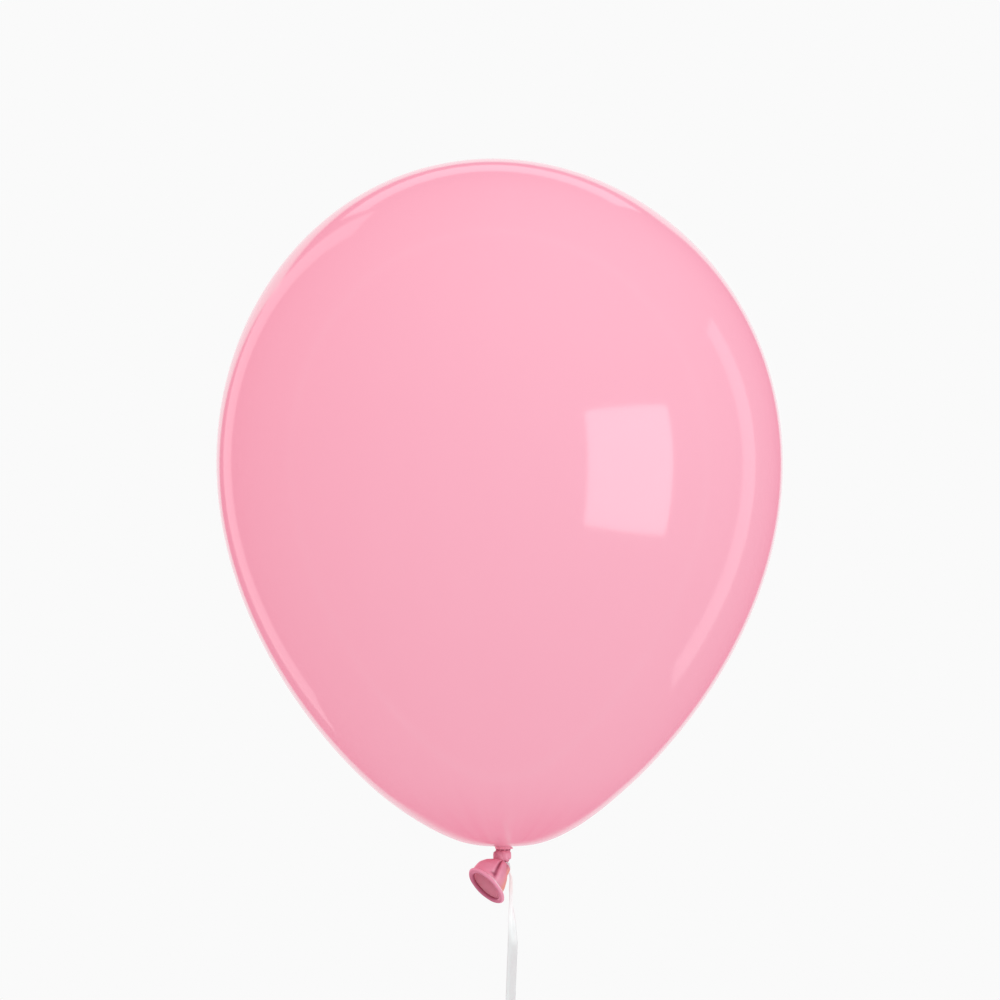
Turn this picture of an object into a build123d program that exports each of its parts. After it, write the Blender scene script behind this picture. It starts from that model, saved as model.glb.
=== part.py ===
"""A tied latex party balloon, blown up and round, with its ribbon.

Millimetres, +Z up. The origin is the waist, where the neck is tied off: the ball of the
balloon is above it, and the knot, the rolled mouth and the ribbon hang below it. Seen along
+Y, from the front, the loose end of the neck lies to the left and a little forwards, and the
ribbon hangs behind it on the right.

Latex: envelope, neck_stem, latex_knot, neck_tail, mouth_bead.
Ribbon: ribbon_turn, ribbon_hitch, hitch_tag, ribbon_run, loop_knot, hand_loop, loop_tag.
"""
from build123d import *
from math import cos, exp, pi, sqrt, tan
import os

# ---- the ball: a balloon 280 mm across, the size sold as 11 inch ----
BALL_RADIUS = 140.0
BALL_HEIGHT = 343.4
BALL_BOTTOM = -0.5
BALL_AXIS_X = -1.6
SHAPE = (2.0067, 5.9534, -4.749, 1.4358)
DIMPLE_LIFT = 1.9
DIMPLE_RADIUS = 14.0
FILM = 0.4
PROFILE_POINTS = 26
HALVINGS = 60

# ---- the neck, gathered to a stem, and the overhand knot round it ----
COLLAR_RADIUS = 4.0
COLLAR_BOTTOM = -0.2
CREASE_RADIUS = 3.0
STEM_RADIUS = 2.2
STEM_BOTTOM = -7.4
KNOT_RADIUS = 4.45
KNOT_TOP = -0.9
KNOT_BOTTOM = -6.5
KNOT_SHIFT_X = -0.45
KNOT_ROUNDING = 2.1

# ---- the loose end of the neck: a flared cup with a rolled bead for a mouth ----
TAIL_PIVOT = Vector(0, 0, -8.8)
STEM_BALL_RADIUS = 1.9
SOCKET_RADIUS = 2.0
TAIL_ROOT_RADIUS = 2.8
TAIL_ROOT_DROP = 0.15
TAIL_HOLLOW_START = 0.45
TAIL_MID_RADIUS = 6.6
TAIL_MOUTH_RADIUS = 10.85
TAIL_WALL = 0.5
MOUTH_CENTRE = Vector(-8.2, -7.6, -17.9)
MOUTH_AXIS = Vector(-0.65, -0.43, -0.62).normalized()
BEAD_RING_RADIUS = 10.6
BEAD_ROLL_RADIUS = 0.85

# ---- the ribbon: 5 mm curling ribbon, tied under the knot, with a loop for the hand ----
RIBBON_WIDTH = 5.0
RIBBON_THICKNESS = 0.3
TURN_CLEARANCE = 0.05
TURN_THICKNESS = 0.5
TURN_TOP = -6.7
TURN_BOTTOM = -7.3
HITCH_CENTRE = Vector(2.5, 2.85, -7.3)
HITCH_RADIUS = 0.9
KNOT_GAP = 0.2
GATHER_WIDTH = 2.4
GATHER_BOTTOM = -30.0
LOOP_KNOT_RADIUS = 3.0
LOOP_KNOT_CENTRE = Vector(3.85, 4.4, -91.0)
RUN_ROUTE = [
    HITCH_CENTRE,
    Vector(3.25, 3.9, -11.8),
    LOOP_KNOT_CENTRE + Vector(0, 0, LOOP_KNOT_RADIUS),
]
LOOP_ROUTE = [
    LOOP_KNOT_CENTRE + Vector(x, 0, z)
    for x, z in (
        (-0.4, -1.0), (-7.6, -17.0), (-16.8, -32.5), (-20.5, -48.0), (-12.5, -62.0),
        (2.5, -67.0), (16.5, -60.5), (20.6, -46.0), (15.4, -30.5), (7.0, -16.0), (0.4, -1.0),
    )
]
HITCH_TAG_DIRECTION = Vector(-0.05, 0.84, -0.5).normalized()
HITCH_TAG_LENGTH = 9.0
HITCH_TAG_WIDTH = 3.2
HITCH_TAG_START = 0.8
LOOP_TAG_DIRECTION = Vector(0.85, 0.1, -0.5).normalized()
LOOP_TAG_LENGTH = 15.0


def ball_point(u):
    """The ball's outline at the fraction u of its height: radius and height."""
    a, b, c, d = SHAPE
    radius = BALL_RADIUS * sqrt(u * (1 - u) * (a + b * u + c * u**2 + d * u**3))
    dimple = DIMPLE_LIFT * exp(-((radius / DIMPLE_RADIUS) ** 2)) * (1 - u) ** 4
    return radius, BALL_BOTTOM + BALL_HEIGHT * u + dimple


def neck_fraction():
    """The fraction of the ball's height where its outline is as narrow as the collar."""
    low, high = 0.0, 0.5
    for _ in range(HALVINGS):
        middle = (low + high) / 2
        if ball_point(middle)[0] < COLLAR_RADIUS:
            low = middle
        else:
            high = middle
    return high


def ball_solid():
    """The ball as a full solid, turned about its own axis."""
    first = neck_fraction()
    steps = [(1 - cos(pi * i / (PROFILE_POINTS - 1))) / 2 for i in range(PROFILE_POINTS)]
    outline = [ball_point(first + (1 - first) * step) for step in steps]
    (r0, z0), (r1, z1) = outline[0], outline[1]
    top = outline[-1][1]
    curve = Spline(
        [(r, 0, z) for r, z in outline[:-1]] + [(0, 0, top)],
        tangents=[(r1 - r0, 0, z1 - z0), (-1, 0, 0)],
        tangent_scalars=[1, 1],
    )
    axis_line = Line((0, 0, top), (0, 0, z0))
    floor_line = Line((0, 0, z0), (r0, 0, z0))
    return revolve(make_face([curve, axis_line, floor_line]), Axis.Z).moved(
        Location((BALL_AXIS_X, 0, 0))
    )


def envelope():
    """The gas-tight skin: the ball less a smaller copy of itself."""
    ball = ball_solid()
    centre = ball.bounding_box().center()
    shrink = 1 - FILM / BALL_RADIUS
    hollow = scale(ball.moved(Location(-centre)), shrink).moved(Location(centre))
    return ball - hollow


def neck_stem():
    """The gathered neck: a collar under the ball, a crease, and a stem through the knot."""
    collar_top = ball_point(neck_fraction())[1]
    collar = Cylinder(COLLAR_RADIUS, collar_top - COLLAR_BOTTOM).moved(
        Location((0, 0, (collar_top + COLLAR_BOTTOM) / 2))
    )
    crease = Cylinder(CREASE_RADIUS, COLLAR_BOTTOM - KNOT_TOP).moved(
        Location((0, 0, (COLLAR_BOTTOM + KNOT_TOP) / 2))
    )
    stem = Cylinder(STEM_RADIUS, KNOT_TOP - STEM_BOTTOM).moved(
        Location((0, 0, (KNOT_TOP + STEM_BOTTOM) / 2))
    )
    end = Sphere(STEM_BALL_RADIUS).moved(Location(TAIL_PIVOT))
    return collar + crease + stem + end


def latex_knot():
    """The overhand knot, one fat turn of the neck drawn tight round the stem."""
    height = KNOT_TOP - KNOT_BOTTOM
    bead = Cylinder(KNOT_RADIUS, height)
    bead = fillet(bead.edges().filter_by(GeomType.CIRCLE), KNOT_ROUNDING)
    bead = bead.moved(Location((KNOT_SHIFT_X, 0, (KNOT_TOP + KNOT_BOTTOM) / 2)))
    return bead - Cylinder(STEM_RADIUS, 4 * height)


def across(wide_along, direction):
    """The part of wide_along that is square to direction, at length 1."""
    return (wide_along - direction * wide_along.dot(direction)).normalized()


def facing(place, direction):
    """The plane at a place that faces a direction, turned the same way as all the others."""
    return Plane(origin=place, x_dir=across(Vector(1, 0, 0), direction), z_dir=direction)


def tail_loft(shrink, start):
    """The flared cup as a full solid from the fraction start of its upper half to its mouth.

    Every section is smaller by shrink.
    """
    root = TAIL_PIVOT - Vector(0, 0, TAIL_ROOT_DROP)
    middle = (root + MOUTH_CENTRE) * 0.5
    down = Vector(0, 0, -1)
    lean = (MOUTH_AXIS + down).normalized()
    first = root + (middle - root) * start
    first_radius = TAIL_ROOT_RADIUS + (TAIL_MID_RADIUS - TAIL_ROOT_RADIUS) * start
    sections = [
        facing(first, lean if start else down) * Circle(first_radius - shrink),
        facing(middle, lean) * Circle(TAIL_MID_RADIUS - shrink),
        facing(MOUTH_CENTRE, MOUTH_AXIS) * Circle(TAIL_MOUTH_RADIUS - shrink),
    ]
    return loft(sections, ruled=True)


def mouth_bead():
    """The rolled rim of the mouth."""
    return Plane(origin=MOUTH_CENTRE, z_dir=MOUTH_AXIS) * Torus(BEAD_RING_RADIUS, BEAD_ROLL_RADIUS)


def neck_tail():
    """The cup of loose film between the knot and the rolled rim."""
    cup = tail_loft(0, 0) - tail_loft(TAIL_WALL, TAIL_HOLLOW_START)
    socket = Sphere(SOCKET_RADIUS).moved(Location(TAIL_PIVOT))
    return cup - socket - mouth_bead()


def ribbon_turn():
    """The ribbon's turn round the stem, under the knot, bunched narrow."""
    inner = STEM_RADIUS + TURN_CLEARANCE
    height = TURN_TOP - TURN_BOTTOM
    ring = Cylinder(inner + TURN_THICKNESS, height) - Cylinder(inner, 2 * height)
    return ring.moved(Location((0, 0, (TURN_TOP + TURN_BOTTOM) / 2)))


def knot_room(centre, radius):
    """The ball of room that a ribbon leaving a knot stays out of."""
    return Sphere(radius).moved(Location(centre))


def corner_radii(points):
    """For each corner of a route, 0.45 of its shorter run over the tangent of half the turn."""
    radii = []
    for before, corner, after in zip(points, points[1:], points[2:]):
        shorter = min((corner - before).length, (after - corner).length)
        turn = (corner - before).get_angle(after - corner) * pi / 180
        radii.append(0.45 * shorter / tan(turn / 2))
    return radii


def ribbon_section(place, direction, wide_along, width=RIBBON_WIDTH):
    """The ribbon's cross-section at a place, for a ribbon that runs in a direction."""
    plane = Plane(origin=place, x_dir=across(wide_along, direction), z_dir=direction)
    return plane * Rectangle(width, RIBBON_THICKNESS)


def flat_band(name, route, wide_along):
    """A flat ribbon swept along straight runs joined by arcs, its width lying wide_along."""
    radii = corner_radii(route)
    path = FilletPolyline(*route, radius=radii)
    start = (route[1] - route[0]).normalized()
    section = ribbon_section(route[0], start, wide_along)
    band = sweep(section, path)
    print(name, "length", round(path.length, 2), "radii", [round(r, 1) for r in radii])
    print(name, "volume", round(band.volume, 2), "of", round(path.length * section.area, 2))
    return band


def strip(start, direction, length, wide_along, width=RIBBON_WIDTH):
    """A short straight cut end of ribbon."""
    section = ribbon_section(start, direction, wide_along, width)
    return extrude(section, amount=length, dir=direction)


def ribbon_hitch():
    """The tight hitch at the back of the turn."""
    return Sphere(HITCH_RADIUS).moved(Location(HITCH_CENTRE))


def hitch_tag():
    """The ribbon's upper cut end, curled narrow."""
    start = HITCH_CENTRE + HITCH_TAG_DIRECTION * HITCH_RADIUS * HITCH_TAG_START
    wide_along = Vector(1, 0, 0)
    tag = strip(start, HITCH_TAG_DIRECTION, HITCH_TAG_LENGTH, wide_along, HITCH_TAG_WIDTH)
    return tag - knot_room(HITCH_CENTRE, HITCH_RADIUS)


def ribbon_run():
    """The ribbon from the hitch down to the loop's knot, gathered narrow at its upper end."""
    band = flat_band("ribbon_run", RUN_ROUTE, Vector(1, 0, 0))
    for side in (-1, 1):
        spare = Box(RIBBON_WIDTH, RIBBON_WIDTH, -2 * GATHER_BOTTOM)
        place = RUN_ROUTE[1] + Vector(side * (GATHER_WIDTH + RIBBON_WIDTH) / 2, 0, 0)
        band -= spare.moved(Location((place.X, place.Y, 0)))
    return band - knot_room(HITCH_CENTRE, HITCH_RADIUS + KNOT_GAP)


def loop_knot():
    """The knot that closes the hand loop, with a flat top where the ribbon enters."""
    return Sphere(LOOP_KNOT_RADIUS).moved(Location(LOOP_KNOT_CENTRE))


def hand_loop():
    """The loop for a hand or wrist, its band's width from front to back."""
    band = flat_band("hand_loop", LOOP_ROUTE, Vector(0, 1, 0))
    return band - knot_room(LOOP_KNOT_CENTRE, LOOP_KNOT_RADIUS + KNOT_GAP)


def loop_tag():
    """The ribbon's lower cut end."""
    tag = strip(LOOP_KNOT_CENTRE, LOOP_TAG_DIRECTION, LOOP_TAG_LENGTH, Vector(0, 1, 0))
    return tag - knot_room(LOOP_KNOT_CENTRE, LOOP_KNOT_RADIUS)


NODES = [
    envelope, neck_stem, latex_knot, neck_tail, mouth_bead, ribbon_turn, ribbon_hitch,
    hitch_tag, ribbon_run, loop_knot, hand_loop, loop_tag,
]

os.makedirs("parts", exist_ok=True)
for make in NODES:
    export_step(make(), f"parts/{make.__name__}.step")
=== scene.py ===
"""A pink latex party balloon on a white ribbon: round film, knot, loose mouth and hand loop.

Metres, in the same frame as the part: the origin is the waist where the neck is tied off,
+Z goes up through the crown, and the front is seen along +Y.
"""
from math import atan2, cos, exp, pi, radians, sin, sqrt, tau
import bpy
import bmesh
from mathutils import Matrix, Vector, noise


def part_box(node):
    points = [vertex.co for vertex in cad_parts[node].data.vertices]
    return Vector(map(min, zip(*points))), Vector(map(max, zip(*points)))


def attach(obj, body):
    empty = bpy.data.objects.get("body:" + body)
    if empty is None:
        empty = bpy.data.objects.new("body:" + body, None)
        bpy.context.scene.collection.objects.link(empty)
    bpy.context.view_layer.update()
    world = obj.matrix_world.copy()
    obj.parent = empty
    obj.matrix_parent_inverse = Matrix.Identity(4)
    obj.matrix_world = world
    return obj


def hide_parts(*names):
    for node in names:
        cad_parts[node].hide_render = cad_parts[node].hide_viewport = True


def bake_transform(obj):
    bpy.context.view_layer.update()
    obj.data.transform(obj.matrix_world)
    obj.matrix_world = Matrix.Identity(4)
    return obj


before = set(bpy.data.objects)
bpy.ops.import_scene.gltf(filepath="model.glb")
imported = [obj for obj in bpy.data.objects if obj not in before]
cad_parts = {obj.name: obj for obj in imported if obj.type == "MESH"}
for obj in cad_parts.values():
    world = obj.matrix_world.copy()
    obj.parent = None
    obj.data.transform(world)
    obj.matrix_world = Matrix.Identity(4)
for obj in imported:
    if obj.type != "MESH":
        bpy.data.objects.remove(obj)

MM = 0.001
UP = Vector((0, 0, 1))
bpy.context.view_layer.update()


def mm(x, y, z):
    """A point given in millimetres."""
    return Vector((x, y, z)) * MM


def smooth(value, low, high):
    """0 below low, 1 above high, and an even curve between them."""
    t = min(max((value - low) / (high - low), 0.0), 1.0)
    return t * t * (3 - 2 * t)


def hump(value, centre, width):
    """1 at the centre, falling away on both sides over the width."""
    return exp(-(((value - centre) / width) ** 2))


def middle(node):
    """The middle of a CAD node's box."""
    low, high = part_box(node)
    return (Vector(low) + Vector(high)) / 2


# ---- camera: a long lens level with the film, looking along +Y ----
CAMERA_DISTANCE = 3.0
VIEW_WIDTH = 0.4973
VIEW_CENTRE = mm(-1.5, 0, 173.3)
SENSOR = 36.0


def make_camera():
    data = bpy.data.cameras.new("camera")
    data.sensor_width = SENSOR
    data.lens = SENSOR * CAMERA_DISTANCE / VIEW_WIDTH
    data.clip_end = 60
    camera = bpy.data.objects.new("camera", data)
    camera.location = VIEW_CENTRE - Vector((0, CAMERA_DISTANCE, 0))
    camera.rotation_euler = (pi / 2, 0, 0)
    bpy.context.scene.collection.objects.link(camera)
    bpy.context.scene.camera = camera


# ---- materials ----
def finish_for(name):
    return Finish(bpy.data.materials.new(name), "Principled BSDF")


class Wire:
    """One output of a node, with arithmetic that adds the Math nodes."""

    def __init__(self, finish, socket):
        self.finish = finish
        self.socket = socket

    def math(self, operation, *values):
        return self.finish.math(operation, *values)

    def __add__(self, other):
        return self.math("ADD", self, other)

    def __radd__(self, other):
        return self.math("ADD", other, self)

    def __sub__(self, other):
        return self.math("SUBTRACT", self, other)

    def __rsub__(self, other):
        return self.math("SUBTRACT", other, self)

    def __mul__(self, other):
        return self.math("MULTIPLY", self, other)

    def __rmul__(self, other):
        return self.math("MULTIPLY", other, self)

    def __truediv__(self, other):
        return self.math("DIVIDE", self, other)

    def __rtruediv__(self, other):
        return self.math("DIVIDE", other, self)

    def __pow__(self, other):
        return self.math("POWER", self, other)

    def __neg__(self):
        return self.math("MULTIPLY", self, -1)


class Finish:
    """The nodes of a material, or of the surroundings, and the shader that they feed."""

    def __init__(self, owner, shader):
        self.owner = owner
        self.owner.use_nodes = True
        self.tree = owner.node_tree
        self.shader = self.tree.nodes[shader]

    def node(self, kind, settings=None, inputs=None, out=0):
        """Any node, from its type, its settings and the values or wires of its inputs."""
        made = self.tree.nodes.new(kind)
        for name, value in (settings or {}).items():
            if name == "stops":
                self.set_stops(made.color_ramp, value)
            else:
                setattr(made, name, value)
        for name, value in (inputs or {}).items():
            self.feed(made.inputs[name], value)
        return Wire(self, made.outputs[out])

    def set_stops(self, ramp, stops):
        while len(ramp.elements) < len(stops):
            ramp.elements.new(0.5)
        for element, (place, colour) in zip(ramp.elements, stops):
            element.position = place
            element.color = (*colour, 1)

    def feed(self, socket, value):
        if isinstance(value, Wire):
            self.tree.links.new(value.socket, socket)
        else:
            socket.default_value = value

    def set(self, **values):
        """Sets or links the shader's own sockets, named with underscores for spaces."""
        for name, value in values.items():
            self.feed(self.shader.inputs[name.replace("_", " ")], value)
        return self

    def place(self):
        """The point being shaded, in the piece's own space, in metres."""
        return self.node("ShaderNodeTexCoord", out="Object")

    def parts(self, vector):
        """The three numbers of a vector."""
        made = self.node("ShaderNodeSeparateXYZ", inputs={0: vector}).socket.node
        return [Wire(self, made.outputs[i]) for i in range(3)]

    def join(self, x, y, z):
        return self.node("ShaderNodeCombineXYZ", inputs={0: x, 1: y, 2: z})

    def noise(self, vector, scale, detail=2.0, rough=0.5):
        inputs = {"Vector": vector, "Scale": scale, "Detail": detail, "Roughness": rough}
        return self.node("ShaderNodeTexNoise", inputs=inputs, out=0)

    def ramp(self, value, low, high):
        """0 below low, 1 above high, smooth between."""
        settings = {"interpolation_type": "SMOOTHSTEP"}
        inputs = {"Value": value, "From Min": low, "From Max": high}
        return self.node("ShaderNodeMapRange", settings, inputs)

    def attribute(self, name):
        return self.node("ShaderNodeAttribute", {"attribute_name": name}, out="Fac")

    def mix(self, factor, one, other):
        """One colour where the factor is 0 and the other where it is 1."""
        a = (*one, 1) if isinstance(one, tuple) else one
        b = (*other, 1) if isinstance(other, tuple) else other
        inputs = {0: factor, 6: a, 7: b}
        return self.node("ShaderNodeMix", {"data_type": "RGBA"}, inputs, out=2)

    def math(self, operation, *values):
        return self.node("ShaderNodeMath", {"operation": operation}, dict(enumerate(values)))

    def bump(self, height, distance, strength=1.0):
        inputs = {"Height": height, "Distance": distance, "Strength": strength}
        return self.node("ShaderNodeBump", inputs=inputs)


FILM_PINK = (0.960, 0.410, 0.515)
FILM_DEEP = (0.930, 0.285, 0.405)
NECK_PINK = (0.850, 0.320, 0.440)
# The next four neck colours are painted light and shade: a dark one for painted shade in folds and hollows, an
# orange one for painted warm light, a pale one for a painted glow and a near-white one for a painted highlight.
NECK_PAINTED_SHADE = (0.400, 0.085, 0.150)
NECK_PAINTED_WARM_LIGHT = (0.840, 0.330, 0.190)
NECK_PAINTED_GLOW = (0.930, 0.380, 0.500)
RIM_PAINTED_HIGHLIGHT = (1.000, 0.860, 0.890)
RIBBON_WHITE = (0.790, 0.775, 0.770)
RIBBON_LINE = (0.660, 0.645, 0.645)
# The next two ribbon colours are painted light: a near-white for the upper stretch, a pink for bounce light from
# the latex.
RIBBON_PAINTED_LIGHT = (0.970, 0.960, 0.950)
RIBBON_PAINTED_BOUNCE = (0.940, 0.790, 0.740)


def film_finish():
    """Latex stretched to a fine glossy film: deeper where it is thick, at the crown and the neck."""
    finish = finish_for("latex_film")
    place = finish.place()
    x, y, z = finish.parts(place)
    reach = (x * x + y * y) ** 0.5
    near_neck = 1 - finish.ramp(z, 0.0, 0.055)
    near_crown = finish.ramp(z, BALL_TOP - 0.0022, BALL_TOP - 0.0002)
    around = finish.join(x / (reach + 0.002), y / (reach + 0.002), z * 1.6)
    streaks = finish.noise(around, 7.0, 3.0) - 0.5
    clouds = finish.noise(place, 9.0, 3.0) - 0.5
    mottle = finish.noise(place, 420.0, 2.0) - 0.5
    thick = near_neck ** 2.2 * (0.60 + streaks * 0.8) + near_crown * 0.45
    thick = thick + clouds * 0.10 + streaks * 0.05 + mottle * 0.02
    finish.set(
        Base_Color=finish.mix(thick + 0.03, FILM_PINK, FILM_DEEP),
        Roughness=0.09 + clouds * 0.03 + near_neck * 0.06,
        Normal=finish.bump(mottle + streaks * 3, 0.00001),
    )
    finish.shader.inputs["IOR"].default_value = 1.47
    return finish.owner


def neck_finish(name, roughness, thin):
    """The same latex unstretched: deeper pink and satin, with painted shade in its folds and hollows, paler painted
    light where a piece marks it, and painted warm light where marked.
    """
    finish = finish_for(name)
    place = finish.place()
    fold = finish.attribute("fold")
    clouds = finish.noise(place, 160.0, 3.0) - 0.5
    grain = finish.noise(place, 2600.0, 3.0) - 0.5
    # Painted shade: the fold amount that each piece stores darkens creases, hollows and shaded sides toward the
    # dark fold colour.
    depth = finish.ramp(fold + clouds * 0.25, 0.0, 1.0)
    colour = finish.mix(depth, NECK_PINK, NECK_PAINTED_SHADE)
    # Painted light: a paler colour where a piece marks it, a glow on the cup's inside back wall and a highlight
    # line on the rim.
    colour = finish.mix(finish.attribute("thin"), colour, thin)
    finish.set(
        # Painted warm light: an orange tint where the cup marks it.
        Base_Color=finish.mix(finish.attribute("warm") * 0.75, colour, NECK_PAINTED_WARM_LIGHT),
        Roughness=roughness + clouds * 0.12 + grain * 0.05,
        Normal=finish.bump(grain + clouds * 2, 0.00003),
    )
    return finish.owner


def ribbon_finish():
    """Curling ribbon: white satin plastic with fine lines along it, with painted light on its upper stretch and
    painted pink bounce light from the latex at its top.
    """
    finish = finish_for("ribbon")
    made = finish.node("ShaderNodeUVMap", {"uv_map": "along"})
    across, along, _ = finish.parts(made)
    lines = finish.noise(finish.join(across * 34, along * 0.6, 0.0), 1.0, 4.0, 0.7) - 0.5
    cloud = finish.noise(finish.join(across * 2, along * 3, 0.0), 1.0, 2.0) - 0.5
    white = finish.mix(lines * 0.7 + cloud * 0.35 + 0.25, RIBBON_WHITE, RIBBON_LINE)
    # Painted light: the upper stretch painted whiter against the shade that the film above throws on it.
    white = finish.mix(finish.attribute("bright"), white, RIBBON_PAINTED_LIGHT)
    finish.set(
        # Painted bounce light: a pink tint at the top, next to the latex.
        Base_Color=finish.mix(finish.attribute("blush"), white, RIBBON_PAINTED_BOUNCE),
        Roughness=0.34 + lines * 0.16,
        Normal=finish.bump(lines, 0.00002),
    )
    return finish.owner


# ---- pieces ----
def piece(name, mesh, material, body, slot, *nodes, smooth_faces=True):
    """A finished mesh as an object that rides on a body and stands for CAD nodes."""
    for face in mesh.faces:
        face.smooth = smooth_faces
    data = bpy.data.meshes.new(name)
    mesh.to_mesh(data)
    mesh.free()
    data.materials.append(material)
    made = bpy.data.objects.new(name, data)
    bpy.context.scene.collection.objects.link(made)
    if body:
        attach(made, body)
    if nodes:
        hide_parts(*nodes)
    return made


def thicken(made, thickness, offset=-1):
    """Gives a skin its wall."""
    wall = made.modifiers.new("wall", "SOLIDIFY")
    wall.thickness = thickness
    wall.offset = offset
    return made


def turned(outline, steps):
    """A surface turned about Z from an outline of (radius, height) points."""
    mesh = bmesh.new()
    verts = [mesh.verts.new((radius, 0, height)) for radius, height in outline]
    edges = [mesh.edges.new(pair) for pair in zip(verts, verts[1:])]
    bmesh.ops.spin(
        mesh, geom=verts + edges, cent=(0, 0, 0), axis=UP, dvec=(0, 0, 0),
        angle=tau, steps=steps, use_merge=True,
    )
    bmesh.ops.remove_doubles(mesh, verts=mesh.verts, dist=1e-7)
    bmesh.ops.recalc_face_normals(mesh, faces=mesh.faces)
    return mesh


def tube(rows, steps, rounds=1.0):
    """A blank tube, its height 0 to 1 and its radius 1, to be given a shape."""
    return turned([(rounds, i / (rows - 1)) for i in range(rows)], steps)


def keep(mesh, name, amounts):
    """Stores an amount for each vertex, in their order, under a name for the finish to read."""
    layer = mesh.verts.layers.float.new(name)
    for vert, amount in zip(mesh.verts, amounts):
        vert[layer] = min(max(amount, 0.0), 1.0)


# ---- the round film ----
BALL_LOW, BALL_HIGH = (Vector(corner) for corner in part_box("envelope"))
BALL_TOP = BALL_HIGH.z
BALL_BOTTOM = -0.5 * MM
BALL_HEIGHT = BALL_TOP - BALL_BOTTOM
BALL_AXIS_X = (BALL_LOW.x + BALL_HIGH.x) / 2
SHAPE = (2.0067, 5.9534, -4.749, 1.4358)
BALL_RADIUS = (BALL_HIGH.x - BALL_LOW.x) / 2 / 1.0055
DIMPLE_LIFT = 1.9 * MM
DIMPLE_RADIUS = 14 * MM
CROWN_LEAN = -3.6 * MM
FILM_WALL = 0.4 * MM
FILM_STEPS = 192
FILM_ROWS = 96
COLLAR_OUTLINE = ((3.97, 0.9), (3.95, 0.5), (3.9, 0.15), (3.75, -0.12), (3.3, -0.35), (2.5, -0.45))


def ball_point(u):
    """The film's outline at the fraction u of its height: radius and height."""
    a, b, c, d = SHAPE
    radius = BALL_RADIUS * sqrt(max(u * (1 - u) * (a + b * u + c * u**2 + d * u**3), 0))
    dimple = DIMPLE_LIFT * exp(-((radius / DIMPLE_RADIUS) ** 2)) * (1 - u) ** 4
    return radius, BALL_BOTTOM + BALL_HEIGHT * u + dimple


def film_point(place):
    """Where a point of the turned film really lies: leaning, and pleated near the neck."""
    radius = sqrt(place.x**2 + place.y**2)
    angle = atan2(place.y, place.x)
    u = (place.z - BALL_BOTTOM) / BALL_HEIGHT
    gathered = hump(radius, 4.2 * MM, 3.2 * MM) * (1 - smooth(place.z, 1 * MM, 9 * MM))
    pleats = 0.5 * cos(11 * angle + 0.7) + 0.3 * cos(17 * angle + 2.1) + 0.25 * cos(5 * angle)
    radius *= 1 + 0.045 * gathered * pleats
    tip = hump(angle, 0.05, 0.22) * hump(place.z, 0.15 * MM, 0.45 * MM)
    radius += 1.2 * MM * tip
    centred = smooth(place.z, 1 * MM, 30 * MM)
    shift = BALL_AXIS_X * centred + CROWN_LEAN * max(u, 0) ** 6
    return Vector((radius * cos(angle) + shift, radius * sin(angle), place.z))


def make_film(material):
    steps = [(1 - cos(pi * i / FILM_ROWS)) / 2 for i in range(FILM_ROWS + 1)]
    outline = [ball_point(step) for step in steps]
    outline = [point for point in outline if point[0] > 4.1 * MM or point[1] > BALL_TOP / 2]
    neck = [(radius * MM, height * MM) for radius, height in reversed(COLLAR_OUTLINE)]
    mesh = turned(neck + outline, FILM_STEPS)
    for vert in mesh.verts:
        vert.co = film_point(vert.co)
    made = piece("balloon_film", mesh, material, "balloon", "latex_film", "envelope")
    return thicken(made, FILM_WALL)


# ---- the neck: its gathered stem and the overhand knot round it ----
KNOT_LOW, KNOT_HIGH = (Vector(corner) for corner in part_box("latex_knot"))
KNOT_CENTRE = (KNOT_LOW + KNOT_HIGH) / 2
KNOT_REACH = (KNOT_HIGH - KNOT_LOW) / 2
STEM_OUTLINE = (
    (0.0, 0.6), (2.2, 0.5), (3.1, 0.1), (3.5, -0.4), (3.62, -0.8), (3.3, -1.2), (2.4, -1.7),
    (2.2, -3.0), (2.15, -5.0), (2.15, -6.6), (2.05, -7.3), (1.9, -8.2), (1.75, -9.4), (1.2, -10.2),
    (0.0, -10.4),
)


def make_stem(material):
    mesh = turned([(radius * MM, height * MM) for radius, height in reversed(STEM_OUTLINE)], 72)
    bmesh.ops.subdivide_edges(mesh, edges=mesh.edges, cuts=1, smooth=0.5, use_grid_fill=True)
    painted_shade = []
    for vert in mesh.verts:
        angle = atan2(vert.co.y, vert.co.x)
        ridge = cos(9 * angle + 80 * vert.co.z / MM * 0.01)
        vert.co.x *= 1 + 0.05 * ridge
        vert.co.y *= 1 + 0.05 * ridge
        # Painted shade: the stem, seen only deep in the crease, is darkened, more in the valleys between its
        # ridges.
        painted_shade.append(0.75 - 0.3 * ridge)
    keep(mesh, "fold", painted_shade)
    return piece("neck_stem_gathered", mesh, material, "balloon", "latex_neck", "neck_stem")


def knot_fold(x, z, side):
    """How deep the knot's surface lies in a fold, for a point in knot radii; side is -1 in front."""
    slant = x + 0.28 * z - 0.10
    return (
        0.38 * hump(slant, 0, 0.15) * (1 if side < 0 else 0.3)
        + 0.55 * hump(slant, 0.55, 0.10) * smooth(-z, -0.3, 0.6)
        + 0.45 * hump(slant, -0.62, 0.10) * smooth(z, -0.2, 0.7)
        + 0.5 * hump(z - 0.25 * x, -0.80, 0.14)
    )


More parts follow.
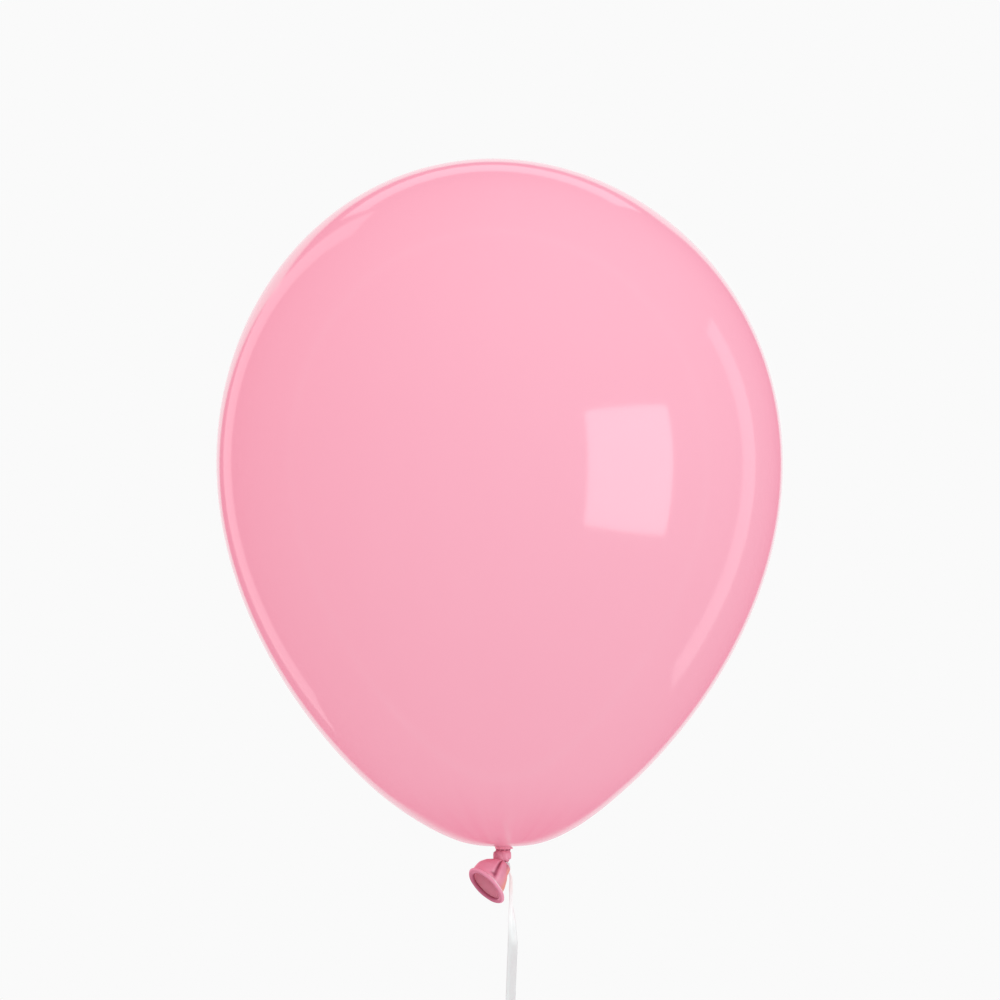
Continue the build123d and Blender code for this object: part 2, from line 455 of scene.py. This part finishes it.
def make_knot(material):
    """A fat turn of the neck, with the crossing strand slanting over it in front."""
    mesh = bmesh.new()
    bmesh.ops.create_icosphere(mesh, subdivisions=6, radius=1)
    painted_shade = []
    for vert in mesh.verts:
        x, y, z = vert.co
        flat = sqrt(x * x + y * y)
        square = (flat**3.2 + abs(z) ** 3.2) ** (-1 / 3.2)
        fold = knot_fold(x, z, y)
        swell = 1 + 0.035 * (x > 0) * hump(x, 0.5, 0.4) + 0.02 * noise.noise(vert.co * 2.3)
        crease = 1 - 0.115 * fold + 0.012 * cos(26 * (x + 0.3 * z)) * hump(z, 0.6, 0.5)
        vert.co = vert.co * square * swell * crease
        # Painted shade: darker in the folds, on the left side and toward the top and bottom where the knot tucks
        # in.
        shade = 0.38 * smooth(-x, -0.15, 0.45) + 0.5 * smooth(abs(z), 0.75, 1.0)
        painted_shade.append(0.75 * fold + shade)
        vert.co = KNOT_CENTRE + Vector(
            (vert.co.x * KNOT_REACH.x, vert.co.y * KNOT_REACH.y, vert.co.z * KNOT_REACH.z * 1.14)
        )
    keep(mesh, "fold", painted_shade)
    return piece("neck_knot", mesh, material, "balloon", "latex_neck", "latex_knot")


# ---- the loose end of the neck: a flared cup and its rolled mouth ----
MOUTH_AXIS = Vector((-0.65, -0.43, -0.62)).normalized()
MOUTH_CENTRE = middle("mouth_bead")
ROLL_DEPTH = 1.0 * MM
ROLL_WIDTH = 1.55 * MM
RING_RADIUS = 9.85 * MM
ROLL_STEPS = 44
TAIL_ROOT = mm(-0.2, -1.9, -6.3)
TAIL_ROOT_AXIS = Vector((-0.35, -0.50, -0.79)).normalized()
TAIL_WALL = 0.45 * MM
WALL_FACING = Vector((0.31, -0.90, 0.30))
TAIL_RADII = ((0.0, 1.3), (0.08, 2.9), (0.2, 5.3), (0.35, 7.1), (0.55, 8.8), (0.8, 9.9), (1.0, 10.6))


def between(table, s):
    """A smooth value at s, from a short table of places and values."""
    for (low, first), (high, last) in zip(table, table[1:]):
        if s <= high:
            return first + (last - first) * (s - low) / (high - low)
    return table[-1][1]


def tail_fold(s, angle):
    """How deep the cup's wall is folded at s along it and an angle round it, 0 facing the front."""
    main = hump(angle, 0.14 - 0.10 * s, 0.09 + 0.03 * s) * (1 - smooth(s, 0.78, 1.0))
    hook = hump(s, 0.76 + 0.16 * angle, 0.05) * hump(angle, 0.20, 0.18)
    right = hump(angle, -0.60, 0.15) * (1 - smooth(s, 0.15, 0.5))
    under = hump(angle, -1.45 - 0.2 * s, 0.15) * (1 - smooth(s, 0.3, 0.75))
    left = hump(angle, 1.15, 0.12) * (1 - smooth(s, 0.1, 0.34))
    behind = 0.5 + 0.5 * cos(7 * angle)
    back = behind * smooth(abs(angle), 1.7, 2.4) * (1 - smooth(s, 0.2, 0.65))
    return 1.0 * main + 0.7 * hook + 0.7 * right + 0.6 * under + 0.45 * left + 0.5 * back


def tail_point(s, angle):
    """A point of the cup's wall, with the depth of its fold."""
    axis = (TAIL_ROOT_AXIS * (1 - s) + MOUTH_AXIS * s).normalized()
    front = (WALL_FACING - axis * WALL_FACING.dot(axis)).normalized()
    aside = axis.cross(front)
    centre = TAIL_ROOT.lerp(MOUTH_CENTRE, s)
    centre = centre + (WALL_FACING * -0.4 + UP * 1.1) * MM * sin(pi * min(s * 1.15, 1.0))
    fold = tail_fold(s, angle)
    depth = fold * (0.5 + 2.0 * sin(pi * smooth(s, 0.0, 1.0)))
    slack = 0.5 * smooth(s, 0.25, 0.45) + 0.5 * smooth(s, 0.70, 0.88)
    slack *= hump(angle, -1.1, 0.85) * (1 - smooth(s, 0.95, 1.0))
    swell = hump(angle, -1.3, 0.6) * hump(s, 0.15, 0.13)
    radius = between(TAIL_RADII, s) - depth * (0.75 - 0.2 * s) - 1.6 * slack + 1.0 * swell
    radius += 0.25 * sin(pi * s) * cos(3 * angle + 1.0)
    return centre + (front * cos(angle) + aside * sin(angle)) * radius * MM, fold


def make_tail(material):
    mesh = tube(72, 200)
    painted_shade, painted_warm_light_amounts, painted_glow_amounts = [], [], []
    for vert in mesh.verts:
        s = vert.co.z
        angle = atan2(vert.co.y, vert.co.x)
        vert.co, fold = tail_point(s, angle)
        # Painted shade: darker in the wall's folds, over the right-hand lobe and on the front next to the mouth.
        lobe = smooth(-angle, 0.0, 0.35) * smooth(s, 0.1, 0.35)
        beside = 0.5 + 0.5 * cos(angle)
        painted_shade.append(fold * 0.85 + 0.28 * lobe + 0.30 * beside * smooth(s, 0.92, 1.0))
        # Painted light: the cup's back wall toward the mouth, seen from inside, is painted paler as if lit through
        # the latex.
        painted_glow_amounts.append(smooth(1 - beside, 0.3, 0.8) * smooth(s, 0.35, 0.7))
        # Painted warm light: an orange patch painted on the cup's right-hand lobe below the knot.
        painted_warm_light_amounts.append(1.3 * hump(angle, -1.15, 0.45) * smooth(s, 0.15, 0.35))
    bmesh.ops.recalc_face_normals(mesh, faces=mesh.faces)
    keep(mesh, "fold", painted_shade)
    keep(mesh, "warm", painted_warm_light_amounts)
    keep(mesh, "thin", painted_glow_amounts)
    made = piece("neck_tail_cup", mesh, material, None, "latex_neck", "neck_tail")
    return thicken(made, TAIL_WALL)


def make_mouth(material):
    """The rolled rim, a little uneven as the real roll is."""
    mesh = bmesh.new()
    start = []
    for i in range(ROLL_STEPS):
        turn = tau * i / ROLL_STEPS
        start.append(
            mesh.verts.new((RING_RADIUS + ROLL_WIDTH * cos(turn), 0, ROLL_DEPTH * sin(turn)))
        )
    edges = [mesh.edges.new(pair) for pair in zip(start, start[1:] + start[:1])]
    bmesh.ops.spin(
        mesh, geom=start + edges, cent=(0, 0, 0), axis=UP, dvec=(0, 0, 0),
        angle=tau, steps=144, use_merge=True,
    )
    bmesh.ops.recalc_face_normals(mesh, faces=mesh.faces)
    front = (WALL_FACING - MOUTH_AXIS * WALL_FACING.dot(MOUTH_AXIS)).normalized()
    aside = MOUTH_AXIS.cross(front)
    turn = Matrix((front, aside, MOUTH_AXIS)).transposed()
    painted_shade, painted_highlight_amounts = [], []
    for vert in mesh.verts:
        angle = atan2(vert.co.y, vert.co.x)
        swell = 1 + 0.008 * sin(3 * angle) + 0.005 * sin(8 * angle + 1)
        inside = RING_RADIUS - sqrt(vert.co.x**2 + vert.co.y**2)
        # Darkening toward the fold colour: the roll darker except at its outer edge, with painted shade deeper on
        # its inner side and on its side away from the front.
        away = 0.5 - 0.5 * cos(angle - 0.15)
        face = 0.45 * smooth(inside, -1.3 * MM, -0.5 * MM)
        deep = 0.30 * smooth(inside, 0.7 * MM, 1.6 * MM)
        painted_shade.append(face + deep + 0.25 * smooth(away, 0.3, 0.9))
        # Painted highlight: a near-white line painted along the back of the roll's outer edge, round part of the
        # ring.
        round_back = atan2(-vert.co.z / ROLL_DEPTH, -inside / ROLL_WIDTH)
        painted_highlight_amounts.append(hump(round_back, 0.62, 0.42) * hump(angle, -0.35, 0.75))
        vert.co = MOUTH_CENTRE + turn @ (vert.co * swell)
    keep(mesh, "fold", painted_shade)
    keep(mesh, "thin", painted_highlight_amounts)
    return piece("mouth_roll", mesh, material, "tail", "latex_neck", "mouth_bead")


# ---- the ribbon ----
HITCH_CENTRE = middle("ribbon_hitch")
LOOP_KNOT_CENTRE = middle("loop_knot")
LOOP_KNOT_RADIUS = 3.0 * MM
RIBBON_WIDTH = 5.0 * MM
RIBBON_WALL = 0.14 * MM
CREASE = -0.14
RUN_ROUTE = [
    HITCH_CENTRE,
    mm(3.25, 3.9, -11.8),
    LOOP_KNOT_CENTRE + Vector((0, 0, LOOP_KNOT_RADIUS)),
]
LOOP_ROUTE = [
    LOOP_KNOT_CENTRE + mm(x, 0, z)
    for x, z in (
        (-0.4, -1.0), (-7.6, -17.0), (-16.8, -32.5), (-20.5, -48.0), (-12.5, -62.0),
        (2.5, -67.0), (16.5, -60.5), (20.6, -46.0), (15.4, -30.5), (7.0, -16.0), (0.4, -1.0),
    )
]


def line_through(points, name):
    """A smooth line with these points as its control points."""
    data = bpy.data.curves.new(name, "CURVE")
    data.dimensions = "3D"
    data.resolution_u = 24
    spline = data.splines.new("NURBS")
    spline.points.add(len(points) - 1)
    for point, place in zip(spline.points, points):
        point.co = (*place, 1)
    spline.order_u = 3
    spline.use_endpoint_u = True
    return data


def points_along(route, name):
    """Points read from the smooth line of a route."""
    curve = bpy.data.objects.new(name, line_through(route, name))
    mesh = bpy.data.meshes.new_from_object(curve)
    points = [vert.co.copy() for vert in mesh.vertices]
    bpy.data.meshes.remove(mesh)
    bpy.data.objects.remove(curve)
    return points


def even(points, count):
    """The same line as evenly spaced points."""
    lengths = [0.0]
    for before, after in zip(points, points[1:]):
        lengths.append(lengths[-1] + (after - before).length)
    found, i = [], 0
    for k in range(count):
        wanted = lengths[-1] * k / (count - 1)
        while i < len(points) - 2 and lengths[i + 1] < wanted:
            i += 1
        part = (wanted - lengths[i]) / max(lengths[i + 1] - lengths[i], 1e-12)
        found.append(points[i].lerp(points[i + 1], part))
    return found


def band(points, wide, across_shape, cells=10):
    """A ribbon along points: wide gives its width's direction, across_shape its cross-section.

    across_shape(a, b) takes a from -0.5 to 0.5 across and b from 0 to 1 along, and gives how far
    the ribbon lies sideways and how far off its flat, in widths.
    """
    mesh = bmesh.new()
    rows = len(points)
    bmesh.ops.create_grid(mesh, x_segments=cells, y_segments=rows - 1, size=0.5)
    layer = mesh.loops.layers.uv.new("along")
    length = sum((b - a).length for a, b in zip(points, points[1:]))
    ways = {}
    for vert in mesh.verts:
        a, b = vert.co.x, vert.co.y + 0.5
        ways[vert] = (a, b)
        i = min(round(b * (rows - 1)), rows - 1)
        heading = (points[min(i + 1, rows - 1)] - points[max(i - 1, 0)]).normalized()
        side = (wide - heading * wide.dot(heading)).normalized()
        off = heading.cross(side)
        sideways, lifted = across_shape(a, b)
        vert.co = points[i] + side * sideways * RIBBON_WIDTH + off * lifted * RIBBON_WIDTH
    for face in mesh.faces:
        for loop in face.loops:
            a, b = ways[loop.vert]
            loop[layer].uv = (a + 0.5, b * length / RIBBON_WIDTH)
    return mesh


def run_shape(a, b):
    """The hanging ribbon: creased lengthways and folded back above, flat and creased below."""
    narrow = 0.36 + 0.64 * smooth(b, 0.0, 0.16)
    tucked = 0.55 + 0.45 * smooth(b, 0.10, 0.26)
    fold = radians(-98 + 52 * smooth(b, 0.22, 0.40) + 62 * smooth(b, 0.38, 0.62))
    shift = 0.50 * smooth(b, 0.015, 0.10)
    shift = shift - 0.16 * smooth(b, 0.22, 0.36) - 0.34 * smooth(b, 0.34, 0.95)
    beyond = (a - CREASE) * narrow
    wave = 0.04 * sin(5 * b)
    if a <= CREASE:
        return beyond + CREASE + shift, wave - 0.22 * beyond
    beyond *= tucked
    return CREASE + beyond * cos(fold) + shift, beyond * sin(fold) + wave


def loop_shape(a, b):
    """The hand loop's ribbon, slightly cupped across and pinched where the knot grips it."""
    grip = 1 - 0.45 * (hump(b, 0, 0.05) + hump(b, 1, 0.05))
    return a * grip, 0.06 * (0.25 - a * a) + 0.02 * sin(9 * b + 1) * a


def tag_shape(a, b):
    """A cut end, narrow at the knot and curling a little."""
    wide = 0.35 + 0.65 * smooth(b, 0.0, 0.45)
    return a * wide, 0.07 * (0.25 - a * a) + 0.16 * b * b


def make_run(material):
    points = even(points_along(RUN_ROUTE, "run_line"), 121)
    mesh = band(points, Vector((1, 0, 0)), run_shape, 12)
    top = HITCH_CENTRE.z
    # Painted bounce light: pink over the top of the hanging ribbon, by the knot.
    blush = [0.4 * smooth(vert.co.z, top - 17 * MM, top - 12 * MM) for vert in mesh.verts]
    keep(mesh, "blush", blush)
    # Painted light: the upper stretch below the knot is painted lighter.
    bright = [smooth(vert.co.z, top - 42 * MM, top - 26 * MM) for vert in mesh.verts]
    keep(mesh, "bright", bright)
    made = piece("ribbon_run_strip", mesh, material, "ribbon", "ribbon", "ribbon_run")
    thicken(made, RIBBON_WALL, 0)
    return made, points


def make_loop(material):
    points = even(points_along(LOOP_ROUTE, "loop_line"), 161)
    mesh = band(points, Vector((0, 1, 0)), loop_shape, 8)
    made = piece("hand_loop_strip", mesh, material, "loop", "ribbon", "hand_loop")
    thicken(made, RIBBON_WALL, 0)
    return made, points


def make_tag(name, node, body, start, way, bend, wide, length, material):
    """A cut end of ribbon from a knot: straight out, then bending."""
    route = [start, start + way * length * 0.45, start + way * length * 0.8 + bend, start + way * length + bend * 2]
    points = even(points_along(route, name), 25)
    made = piece(name, band(points, wide, tag_shape, 8), material, body, "ribbon", node)
    return thicken(made, RIBBON_WALL, 0)


def knot_line(centre, reach, turns=60):
    """A trefoil's closed line: an overhand knot drawn tight, as wide, deep and tall as reach."""
    line = []
    for i in range(turns):
        t = tau * i / turns
        line.append(
            centre + Vector(
                (
                    (sin(t) + 2 * sin(2 * t)) / 3 * reach.x,
                    -sin(3 * t) * 0.62 * reach.y,
                    (cos(t) - 2 * cos(2 * t)) / 3 * reach.z,
                )
            )
        )
    return line


def make_tied(name, node, body, centre, reach, strand, material):
    """A small knot of bunched ribbon: a strand along an overhand knot's line."""
    data = bpy.data.curves.new(name, "CURVE")
    data.dimensions = "3D"
    data.bevel_depth = strand
    data.bevel_resolution = 4
    spline = data.splines.new("NURBS")
    line = knot_line(centre, reach)
    spline.points.add(len(line) - 1)
    for point, place in zip(spline.points, line):
        point.co = (*place, 1)
    spline.use_cyclic_u = True
    spline.order_u = 3
    shape = bpy.data.objects.new(name, data)
    skin = bpy.data.meshes.new_from_object(shape)
    mesh = bmesh.new()
    mesh.from_mesh(skin)
    bpy.data.objects.remove(shape)
    bpy.data.meshes.remove(skin)
    bmesh.ops.remove_doubles(mesh, verts=mesh.verts, dist=1e-7)
    bmesh.ops.recalc_face_normals(mesh, faces=mesh.faces)
    layer = mesh.loops.layers.uv.verify()
    mesh.loops.layers.uv.new("along")
    layer = mesh.loops.layers.uv["along"]
    for face in mesh.faces:
        for loop in face.loops:
            place = loop.vert.co - centre
            loop[layer].uv = (place.z / RIBBON_WIDTH * 3, place.x / RIBBON_WIDTH)
    return piece(name, mesh, material, body, "ribbon", node)


def make_turn(material):
    """The ribbon's turn round the stem: two bunched strands side by side."""
    low, high = (Vector(corner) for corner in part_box("ribbon_turn"))
    outer = (high.x - low.x) / 2
    inner = outer - 0.5 * MM
    height = high.z - low.z
    outline = []
    for i in range(24):
        t = tau * i / 24
        pinch = 1 - 0.28 * hump(abs(cos(t)), 1, 0.35) * (sin(t) ** 2 < 0.2)
        outward = inner + 0.25 * MM + 0.25 * MM * cos(t) * pinch
        outline.append((outward, low.z + height / 2 + height / 2 * sin(t)))
    mesh = bmesh.new()
    verts = [mesh.verts.new((radius, 0, z)) for radius, z in outline]
    edges = [mesh.edges.new(pair) for pair in zip(verts, verts[1:] + verts[:1])]
    bmesh.ops.spin(
        mesh, geom=verts + edges, cent=(0, 0, 0), axis=UP, dvec=(0, 0, 0),
        angle=tau, steps=96, use_merge=True,
    )
    bmesh.ops.recalc_face_normals(mesh, faces=mesh.faces)
    layer = mesh.loops.layers.uv.new("along")
    for face in mesh.faces:
        for loop in face.loops:
            place = loop.vert.co
            loop[layer].uv = ((place.z - low.z) / height, atan2(place.y, place.x))
    return piece("ribbon_turn_wraps", mesh, material, "ribbon_tie", "ribbon", "ribbon_turn")


# ---- studio ----
BACKDROP_WHITE = 0.956
LIGHT_FROM = Vector((0.551, -0.702, 0.451))
EVEN_LIGHT = (1.02, 0.945, 0.97)
MORE_LIGHT = (0.12, 0.460, 0.41)
ROOM_PINK = (0.82, 0.24, 0.36)
BALL_MIDDLE = Vector((BALL_AXIS_X, 0, 0.185))
SHEET_SLANT = 0.51
SHEET_LEFT = 0.364
SHEET_RIGHT = 0.30
SHEET_TOP = 0.396
SHEET_BOTTOM = 0.6
SHEET_SOFT = 0.03


def make_stage():
    """A pale floor well below, and a pale surround that only the camera sees."""
    floor_mesh = bmesh.new()
    bmesh.ops.create_circle(floor_mesh, cap_ends=True, segments=96, radius=6.0)
    floor_finish = finish_for("floor").set(Base_Color=(0.86, 0.86, 0.86, 1), Roughness=0.9)
    surround_mesh = bmesh.new()
    bmesh.ops.create_icosphere(surround_mesh, subdivisions=4, radius=14.0)
    bmesh.ops.reverse_faces(surround_mesh, faces=surround_mesh.faces)
    glow = finish_for("surround")
    glow.set(Base_Color=(0, 0, 0, 1), Specular_IOR_Level=0.0, Emission_Strength=1.0)
    glow.set(Emission_Color=(BACKDROP_WHITE, BACKDROP_WHITE, BACKDROP_WHITE, 1))
    made = []
    for name, mesh, finish in (("floor", floor_mesh, floor_finish), ("surround", surround_mesh, glow)):
        data = bpy.data.meshes.new(name)
        mesh.to_mesh(data)
        mesh.free()
        data.materials.append(finish.owner)
        thing = bpy.data.objects.new(name, data)
        bpy.context.scene.collection.objects.link(thing)
        made.append(thing)
    floor, surround = made
    floor.location.z = -0.9
    floor.visible_glossy = False
    surround.visible_diffuse = False
    surround.visible_glossy = False
    surround.visible_transmission = False
    surround.visible_shadow = False


def make_world():
    """Soft light from all round, whiter from the right and above in front.

    In reflections there's a white sheet behind the film, in a room that glows as the film does.
    """
    world = bpy.data.worlds.new("studio")
    room = Finish(world, "Background")
    bpy.context.scene.world = world
    way = room.node("ShaderNodeTexCoord", out="Generated")
    x, y, z = room.parts(way)
    toward = x * LIGHT_FROM.x + y * LIGHT_FROM.y + z * LIGHT_FROM.z
    light = room.join(*(even + toward * more for even, more in zip(EVEN_LIGHT, MORE_LIGHT)))
    ahead = room.ramp(y, 0.0, 0.1)
    depth = y + (1 - ahead) * 9
    aside, height = x / depth, z / depth
    lift = room.math("MAXIMUM", height, -0.05)
    left_edge = room.ramp(aside + lift * SHEET_SLANT + SHEET_LEFT, -SHEET_SOFT, SHEET_SOFT)
    right_edge = room.ramp(SHEET_RIGHT - aside, -SHEET_SOFT, SHEET_SOFT)
    top_edge = room.ramp(SHEET_TOP - height, -SHEET_SOFT, SHEET_SOFT)
    bottom_edge = room.ramp(height + SHEET_BOTTOM, -0.2, 0.2)
    sheet = left_edge * right_edge * top_edge * bottom_edge * ahead
    white = (BACKDROP_WHITE, BACKDROP_WHITE, BACKDROP_WHITE)
    mirrored = room.node("ShaderNodeLightPath", out="Is Glossy Ray")
    seen = room.mix(mirrored, light, room.mix(sheet, ROOM_PINK, white))
    room.set(Color=seen, Strength=1.0)


def soft_light(name, azimuth, elevation, distance, size, radiance):
    """A soft box that's seen in reflections. Azimuth 0 is at the camera, 90 at the right."""
    width, height = size
    data = bpy.data.lights.new(name, "AREA")
    data.shape = "RECTANGLE"
    data.size = width
    data.size_y = height
    data.energy = radiance * pi * width * height
    light = bpy.data.objects.new(name, data)
    a, e = radians(azimuth), radians(elevation)
    way = Vector((sin(a) * cos(e), -cos(a) * cos(e), sin(e)))
    light.location = BALL_MIDDLE + way * distance
    light.rotation_euler = way.to_track_quat("Z", "Y").to_euler()
    light.visible_camera = False
    light.visible_diffuse = False
    bpy.context.scene.collection.objects.link(light)


def make_lights():
    soft_light("window_box", 52.4, -0.8, 1.5, (1.00, 0.97), 3.1)
    soft_light("left_strip", -141, 8, 1.6, (0.32, 2.4), 0.5)
    soft_light("right_strip", 117, -4, 1.6, (0.30, 2.0), 0.75)
    soft_light("top_strip", 182, 38.5, 1.6, (1.2, 0.28), 0.6)


make_camera()
make_world()
make_stage()
make_lights()
bpy.context.scene.view_settings.view_transform = "Standard"
bpy.context.scene.view_settings.look = "None"

ribbon_white = ribbon_finish()
run, run_points = make_run(ribbon_white)
loop, loop_points = make_loop(ribbon_white)
make_turn(ribbon_white)
make_tied(
    "ribbon_hitch_knot", "ribbon_hitch", "hitch", HITCH_CENTRE + mm(-0.6, 0.1, -0.3),
    mm(0.60, 0.60, 0.66), 0.30 * MM, ribbon_white,
)
make_tag(
    "hitch_cut_end", "hitch_tag", "hitch", HITCH_CENTRE, Vector((-0.30, 0.84, -0.5)).normalized(),
    mm(-0.2, 0.1, -0.6), Vector((1, 0, 0)), 9.3 * MM, ribbon_white,
)
loop_knot = make_tied(
    "hand_loop_knot", "loop_knot", "ribbon", LOOP_KNOT_CENTRE, mm(2.6, 2.4, 2.7), 0.95 * MM, ribbon_white
)
loop_tag = make_tag(
    "loop_cut_end", "loop_tag", "ribbon", LOOP_KNOT_CENTRE, Vector((0.85, 0.1, -0.5)).normalized(),
    mm(0.3, 0.2, -1.1), Vector((0, 1, 0)), 14.5 * MM, ribbon_white,
)

film_pink = film_finish()
# The third value is the colour of painted light: a paler glow for the neck, a near-white painted highlight for the
# rim.
neck_pink = neck_finish("latex_neck", 0.38, NECK_PAINTED_GLOW)
rim_pink = neck_finish("latex_rim", 0.15, RIM_PAINTED_HIGHLIGHT)
make_film(film_pink)
make_stem(neck_pink)
make_knot(neck_pink)
tail = make_tail(neck_pink)
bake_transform(tail)
make_mouth(rim_pink)
